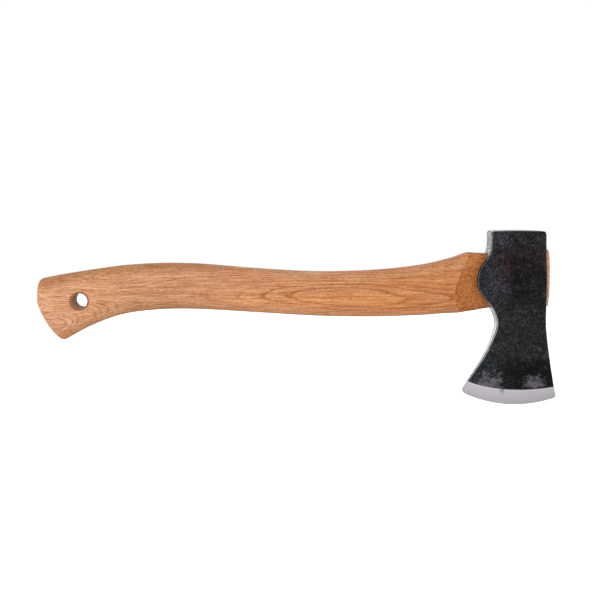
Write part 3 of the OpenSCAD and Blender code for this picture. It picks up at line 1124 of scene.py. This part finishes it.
def handle_looks():
    pale, dark = paint(222, 166, 124), paint(168, 100, 58)
    warm, cool = paint(212, 146, 96), paint(207, 141, 106)
    looks, colour, relief, pores = wood_looks("hickory_oiled", pale, dark, warm, cool)
    x, z = looks.x, looks.z
    # the knob is paler and pinker than the shoulder
    along = x.ramp(-345, -40) * x.ramp(10, 18, 1.0, 0.3)
    colour = looks.tinted(colour, looks.blend(along, KNOB_TINT, SHOULDER_TINT))
    # painted shade darkens the narrow top and bottom of the hand's part; further on, a painted
    # highlight makes the top pale
    height = looks.mark("height")
    held = x.ramp(-140, -260)
    painted_edge_shade = looks.math("ABSOLUTE", height).ramp(0.55, 0.97) * held
    top = height.ramp(0.3, 0.9) * held.ramp(0.0, 0.7, 1.0, 0.0) * x.ramp(8, 0)
    # a darker band of heartwood runs along the knob's top
    rise = z + (x - KNOB_X) * -BAND_SLOPE
    band = rise.ramp(-9, -5) * x.ramp(-285, -320) * (0.5 + pores * 0.5)
    for tint, share in (
        (HAND_TINT, looks.patch(*HAND_PATCH)),
        (SHADE_TINT, looks.patch(*SHADE_PATCH)),
        (EDGE_SHADE_TINT, painted_edge_shade),
        (TOP_HIGHLIGHT_TINT, top),
        (BAND_TINT, band),
        (LENS_TINT, looks.patch(*LENS_PATCH).ramp(0.30, 0.55)),
    ):
        colour = looks.tinted(colour, tint, share)
    # a painted highlight makes the crease pale; past it, the carved facet is painted darker and more
    # saturated as painted shade, with a mottle of cut fibres
    carved = looks.mark("carved").ramp(0.4, 0.6) * x.ramp(10, 18, 1.0, 0.0)
    slanted = looks.vector(x + z * CARVED_SLANT, looks.y, z)
    mottle = looks.noise((3.6, 1.2, 1.1), seed=21, detail=3, roughness=0.75, place=slanted)
    shaded_facet_colour = looks.tinted(colour, FACET_SHADE_TINT)
    shaded_facet_colour = looks.shaded(shaded_facet_colour, mottle.ramp(0.3, 0.7, 0.62, 1.34))
    colour = looks.tinted(colour, CREASE_HIGHLIGHT_TINT, looks.mark("fold").ramp(0.1, 0.6))
    colour = looks.blend(carved, colour, shaded_facet_colour)
    sawn = looks.mark("sawn")
    colour = looks.tinted(colour, SAWN_TINT, looks.most(sawn, looks.mark("bore")))
    roughness = 0.5 + pores * 0.2 + sawn * 0.15
    return looks.finish(colour, roughness, 0.25, more=looks.bump(relief, 0.05))


def wedge_wood_looks():
    pale, dark = paint(226, 190, 140), paint(170, 120, 72)
    warm, cool = paint(216, 172, 120), paint(205, 160, 116)
    looks, colour, relief, pores = wood_looks("wedge_birch", pale, dark, warm, cool, 0.7)
    return looks.finish(colour, 0.5 + pores * 0.2, 0.4, more=looks.bump(relief, 0.04))


# ---- steel
SCALE_GREY = paint(36, 36, 37)
SCALE_WARM = paint(43, 35, 37)
SCALE_PURPLE = paint(52, 35, 42)
SCALE_BLUE = paint(40, 42, 47)
THIN_SCALE = paint(124, 122, 125)
WARM_BAND = (2.0, 13.0, 24.0, 8.0)
CHEEK_BLOOM = (-9.5, 6.0, 6.0, 12.0)
HEEL_BLOOM = (-27.0, -70.0, 9.0, 8.0)
BEHIND_LUGS = (-15.0, -5.0, 6.0, 45.0)
RUBBED_HEEL = (-20.0, -77.0, 10.5, 9.0)
RUBBED_TOE = (12.5, -76.0, 8.0, 6.0)
NICK = (-10.6, -80.6, 1.5, 2.6)


def forge_scale(looks, speckle, mottle):
    """Black scale with heat tints, pits, bright specks and places rubbed thin."""
    x, z = looks.x, looks.z
    cloud = looks.noise((15, 15, 12), seed=6, detail=2)
    tint = looks.noise((9, 9, 9), seed=8, detail=2)
    pits, sparks = looks.dots(1.7, 31.0, 0.4, 0.5), looks.dots(1.3, 47.0)
    # heat left a warm band across the poll, and purple blooms on the cheek and by the heel
    bloom = looks.most(looks.patch(*CHEEK_BLOOM), looks.patch(*HEEL_BLOOM))
    purple = (bloom + (tint - 0.5) * 2.0).ramp(0.3, 1.1)
    colour = looks.blend(looks.patch(*WARM_BAND), SCALE_GREY, SCALE_WARM)
    colour = looks.blend(purple * 0.8, colour, SCALE_PURPLE)
    colour = looks.blend(x.ramp(-12, -26), colour, SCALE_BLUE)
    # the scale is thin behind the lugs, and thick and black on the cheek and low on the blade
    thick_low = z.ramp(-55, -63) * x.ramp(-20, 4)
    thick_cheek = x.ramp(-13, -1) * x.ramp(13, 18, 1.0, 0.4) * z.ramp(-24, -12) * z.ramp(26, 10)
    level = speckle.ramp(0.36, 0.68, 0.12, 2.05)
    for factor in (
        mottle.ramp(0.35, 0.65, 0.7, 1.25),
        cloud.ramp(0.35, 0.65, 0.8, 1.15),
        1.0 + looks.patch(*BEHIND_LUGS) * 0.55,
        z.ramp(20, 30, 1.0, 1.2),
        thick_low.ramp(0, 1, 1.0, 0.3),
        thick_cheek.ramp(0, 1, 1.0, 0.5),
        pits.ramp(0, 1, 1.1, 0.35),
    ):
        level = level * factor
    colour = looks.shaded(colour, level)
    # bright specks, and places above the bevel where the scale is rubbed thin
    rubbed = looks.most(looks.patch(*RUBBED_HEEL), looks.patch(*RUBBED_TOE))
    rubbed = (rubbed + (mottle - 0.5) * 2.4).ramp(0.25, 1.05) * speckle.ramp(0.3, 0.7, 0.3, 0.7)
    thin = looks.most(sparks * mottle.ramp(0.35, 0.65, 0.03, 0.22), rubbed)
    return looks.blend(thin, colour, THIN_SCALE)


def bevel_steel(looks):
    """Steel honed across the edge, with a nick where the grinding bit deeper."""
    hone_lines = looks.noise((0.3, 5, 6), seed=16, detail=2)
    depth = looks.mark("bevel_depth")
    colour = looks.blend(hone_lines.ramp(0.3, 0.7), paint(190, 188, 191), paint(195, 193, 195))
    # painted light: the bevel is painted lighter towards the heel and towards its upper line, with a
    # painted highlight right along that line
    level = looks.x.ramp(-34, 22, 1.07, 0.96) * depth.ramp(0.1, 0.9, 1.06, 0.9)
    colour = looks.shaded(colour, level * depth.ramp(0.1, 0.0, 1.0, 1.15))
    return looks.blend(looks.patch(*NICK) * 0.85, colour, THIN_SCALE)


def head_looks():
    """Forge scale on the faces, ground bare along the outline and honed on the bevel."""
    looks = Looks("forged_head")
    x, z = looks.x, looks.z
    speckle = looks.noise((1.1, 1.1, 1.1), seed=2, detail=4, roughness=0.85)
    mottle = looks.noise((3.6, 3.6, 3.0), seed=4, detail=3, roughness=0.65)
    lines = looks.noise((7, 0.5, 0.3), seed=14, detail=2)
    blotches = looks.noise((1.6, 6, 1.6), seed=15, detail=2, roughness=0.6)
    scale = forge_scale(looks, speckle, mottle)

    # ground steel, blotched by uneven grinding
    steel = looks.blend(lines.ramp(0.3, 0.7), paint(194, 192, 194), paint(222, 220, 221))
    uneven = blotches.ramp(0.42, 0.58) * z.ramp(-20, -30, 0.9, 0.35)
    steel = looks.blend(uneven, steel, paint(122, 120, 124))
    # painted light: the ground sides are painted darker above the eye and much brighter below it, for
    # how they catch the light
    steel = looks.shaded(steel, z.ramp(-14, -22, 0.84, 1.5))

    # the lugs' sides face the wood and kept their dark scale, which also serves as painted shade in
    # the gap against the wood
    lug_side_scale_and_shade = x.ramp(-21.8, -23.5) * z.ramp(-30, -24)
    bare = (looks.mark("bare") - lug_side_scale_and_shade + (mottle - 0.5) * 0.5).ramp(0.42, 0.56)
    # the worn corners are painted bright steel: wear, and a painted highlight along the corner,
    # weaker low on the blade and on the lugs
    glint = looks.mark("worn") * blotches.ramp(0.28, 0.55, 0.3, 1.0)
    glint = glint * z.ramp(-75, -50, 0.35, 0.9) * lug_side_scale_and_shade.ramp(0, 1, 1.0, 0.6)
    honed, bore = looks.mark("honed"), looks.mark("bore")
    bright = looks.most(bare, glint)
    colour = looks.blend(bright, scale, steel)
    colour = looks.blend(honed, colour, bevel_steel(looks))
    colour = looks.blend(bore, colour, scale)
    metal = looks.most(bright, honed) * (1.0 - bore)
    covered = 1.0 - metal
    roughness = looks.between(metal, speckle.ramp(0.3, 0.7, 0.7, 0.5), 0.4)
    relief = speckle * covered + mottle * covered * 1.2 + lines * bare * 0.3
    return looks.finish(colour, roughness, 0.1, metal, more=looks.bump(relief, 0.08))


def wedge_steel_looks():
    looks = Looks("wedge_bright_steel")
    turned = looks.noise((0.25, 3, 3), seed=3, detail=2)
    colour = looks.blend(turned.ramp(0.3, 0.7), paint(150, 150, 152), paint(182, 182, 185))
    roughness = turned.ramp(0.3, 0.7, 0.28, 0.42)
    return looks.finish(colour, roughness, 0.5, 1.0, more=looks.bump(turned, 0.02))


# ---- pieces
for make, looks, node, slot in (
    (make_head, head_looks, "head", "forged_steel"),
    (make_handle, handle_looks, "handle", "handle_wood"),
    (make_wood_wedge, wedge_wood_looks, "wood_wedge", "wedge_wood"),
    (make_ring_wedge, wedge_steel_looks, "steel_wedge", "wedge_steel"),
):
    piece = make(looks())
    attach(piece, "root")
    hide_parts(node)

# ---- floor, light, camera
WHITE = (1, 1, 1, 1)
PALE = (0.92, 0.92, 0.92, 1)
FLOOR_DROP = 0.30
FLOOR_REACH = 4.0
TENT_ABOVE, TENT_BELOW, TENT_BEHIND = 0.58, 0.52, 1.0
BACKDROP = (0.3, 0.9)  # it brightens from the first to the second, 1 being straight behind
SOFTBOXES = (  # name, place, width, power
    ("key", (-0.5, -1.3, 0.7), 0.9, 8),
    ("fill", (0.9, -1.1, 0.2), 0.8, 4),
    ("side", (-1.5, -0.1, -0.1), 0.8, 5),
)
CAMERA_PLACE = (-0.1595, -0.8, 0.0266)
LENS_MM = 67.13
SENSOR_MM = 36
LENS_SHIFT_Y = -0.173


def make_floor():
    """A pale floor that is lit up until the camera sees no shadow on it."""
    z = CAD_LOW[2] - FLOOR_DROP
    corners = [(x * FLOOR_REACH, y * FLOOR_REACH, z) for x, y in ((-1, -1), (1, -1), (1, 1), (-1, 1))]
    mesh = new_mesh("floor", corners, [(0, 1, 2, 3)])
    looks = Looks("pale_floor")
    to_camera = looks.node("LightPath", out="Is Camera Ray")
    glow = {"Emission Strength": to_camera, "Emission Color": WHITE}
    mesh.materials.append(looks.finish(PALE, 0.9, 0.2, more=glow))
    new_object("floor", mesh)


def make_tent():
    """Soft light from all round, brightest from the backdrop; the camera sees plain white."""
    world = bpy.data.worlds.new("tent")
    world.use_nodes = True
    nodes = Nodes(world.node_tree)
    _, away, up = nodes.parts(nodes.node("TexCoord", out="Generated"))
    backdrop = away.ramp(*BACKDROP, 0.0, TENT_BEHIND - TENT_ABOVE, "LINEAR")
    light = up.ramp(-1.0, 1.0, TENT_BELOW, TENT_ABOVE, "LINEAR") + backdrop
    to_camera = nodes.node("LightPath", out="Is Camera Ray")
    strength = nodes.between(to_camera, light, 1.0)
    nodes.feed(nodes.tree.nodes["Background"], {"Color": WHITE, "Strength": strength})
    scene.world = world


def make_softbox(name, place, width, power):
    """A round soft light aimed at the hatchet, which no surface mirrors."""
    light = bpy.data.lights.new(name, "AREA")
    light.shape = "DISK"
    light.size = width
    light.energy = power
    box = new_object(name, light)
    box.visible_glossy = False
    box.location = place
    middle = (Vector(CAD_LOW) + Vector(CAD_HIGH)) / 2
    box.rotation_euler = (middle - Vector(place)).to_track_quat("-Z", "Y").to_euler()


make_floor()
make_tent()
for softbox in SOFTBOXES:
    make_softbox(*softbox)
lens = bpy.data.cameras.new("camera")
lens.sensor_width = SENSOR_MM
lens.lens = LENS_MM
lens.shift_y = LENS_SHIFT_Y
camera = new_object("camera", lens)
camera.location = CAMERA_PLACE
camera.rotation_euler = (math.radians(90), 0, 0)
scene.camera = camera
scene.view_settings.view_transform = "Standard"
